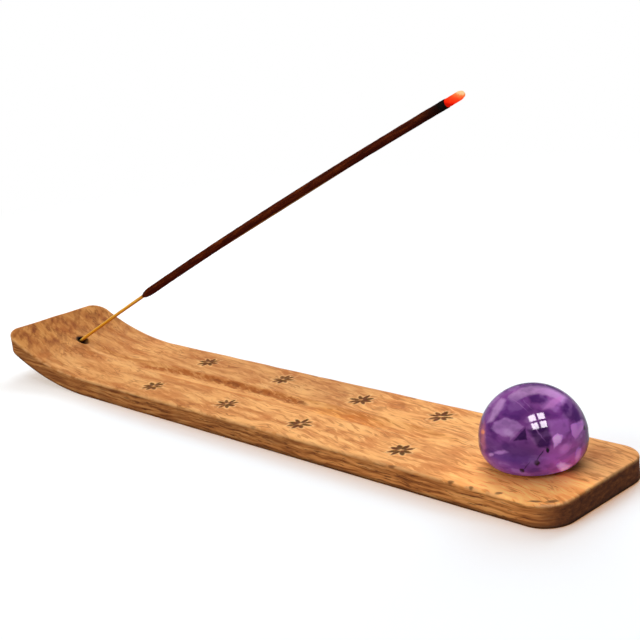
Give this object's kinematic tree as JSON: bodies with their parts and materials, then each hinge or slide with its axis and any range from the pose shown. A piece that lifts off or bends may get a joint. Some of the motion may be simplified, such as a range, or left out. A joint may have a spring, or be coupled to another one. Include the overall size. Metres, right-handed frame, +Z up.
{
  "type": "incense stick holder",
  "caption": "Wooden ash catcher board with an upswept end, an ash groove, burnt flower marks, a polished amethyst dome and a lit incense stick.",
  "frame": {"origin": "middle of the board's length and width, on its flat underside", "axes": "+X along the board towards the amethyst dome, +Y across it, +Z up"},
  "size_m": [0.26, 0.045, 0.1075],
  "materials": {
    "carved_wood": "golden brown figured hardwood, sanded and lightly oiled",
    "clear_adhesive": "thin clear glue film",
    "amethyst": "polished purple quartz with veils and colour zones",
    "bamboo": "golden split bamboo, satin",
    "incense_paste": "matt dark red-brown incense paste",
    "char": "matt black char",
    "ember": "glowing ember"
  },
  "bodies": {
    "holder": {"ash_catcher_board": "carved_wood", "dome_adhesive": "clear_adhesive", "amethyst_dome": "amethyst"},
    "stick": {"bamboo_core": "bamboo", "incense_paste": "incense_paste", "charred_ring": "char", "ember_tip": "ember"}
  },
  "joints": [
    {"name": "stick_lift", "type": "slide", "parent": "holder", "child": "stick", "axis": [0.8902, 0, 0.4555], "range_m": [0, 0.02]}
  ]
}
